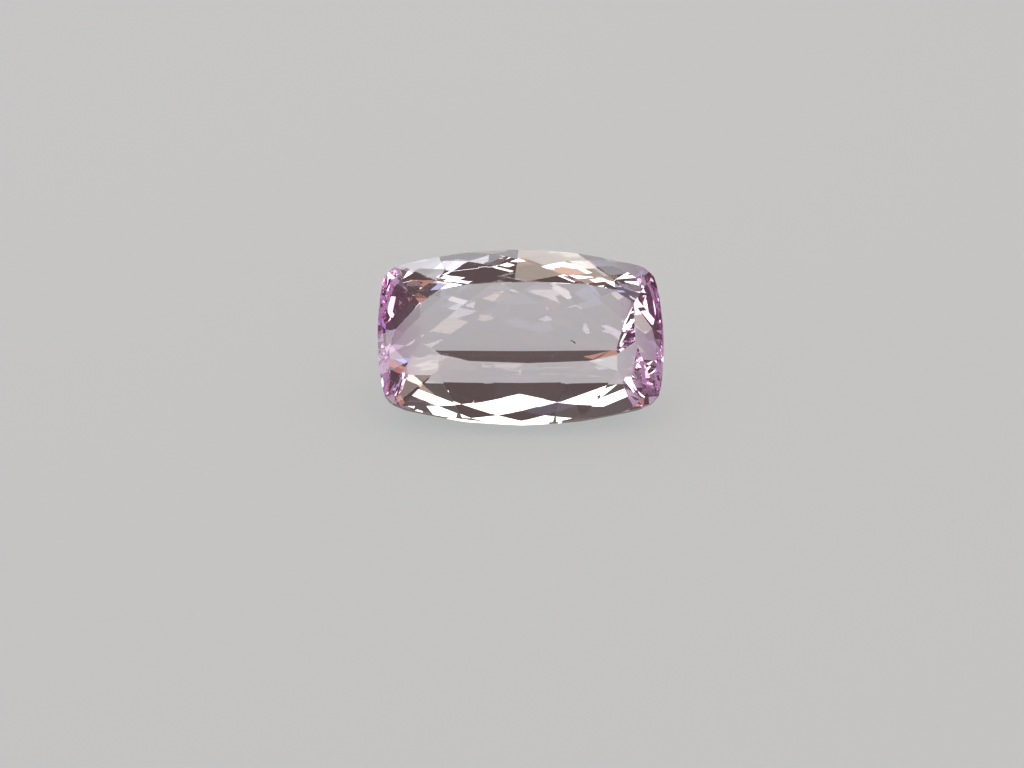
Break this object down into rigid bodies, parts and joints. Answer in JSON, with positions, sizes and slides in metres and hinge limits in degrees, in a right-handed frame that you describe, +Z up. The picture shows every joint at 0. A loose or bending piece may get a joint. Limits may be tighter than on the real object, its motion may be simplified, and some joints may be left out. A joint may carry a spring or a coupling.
{
  "type": "cut gemstone",
  "caption": "Loose kunzite cut as a long cushion, with a large flat table, a low crown of kite facets and a stepped lozenge pavilion with a long keel, lying on a pavilion facet.",
  "frame": {"origin": "on the surface the stone lies on, under the middle of its bounding box", "axes": "+X along the stone's length, +Y across it towards the side that the table faces away from, +Z up from the facet it lies on; the table faces up and towards -Y, 40.5 degrees off vertical"},
  "size_m": [0.0126, 0.0066, 0.006],
  "materials": {
    "kunzite": "polished, clear, very pale lilac"
  },
  "bodies": {
    "root": {"kunzite": "kunzite"}
  },
  "joints": []
}
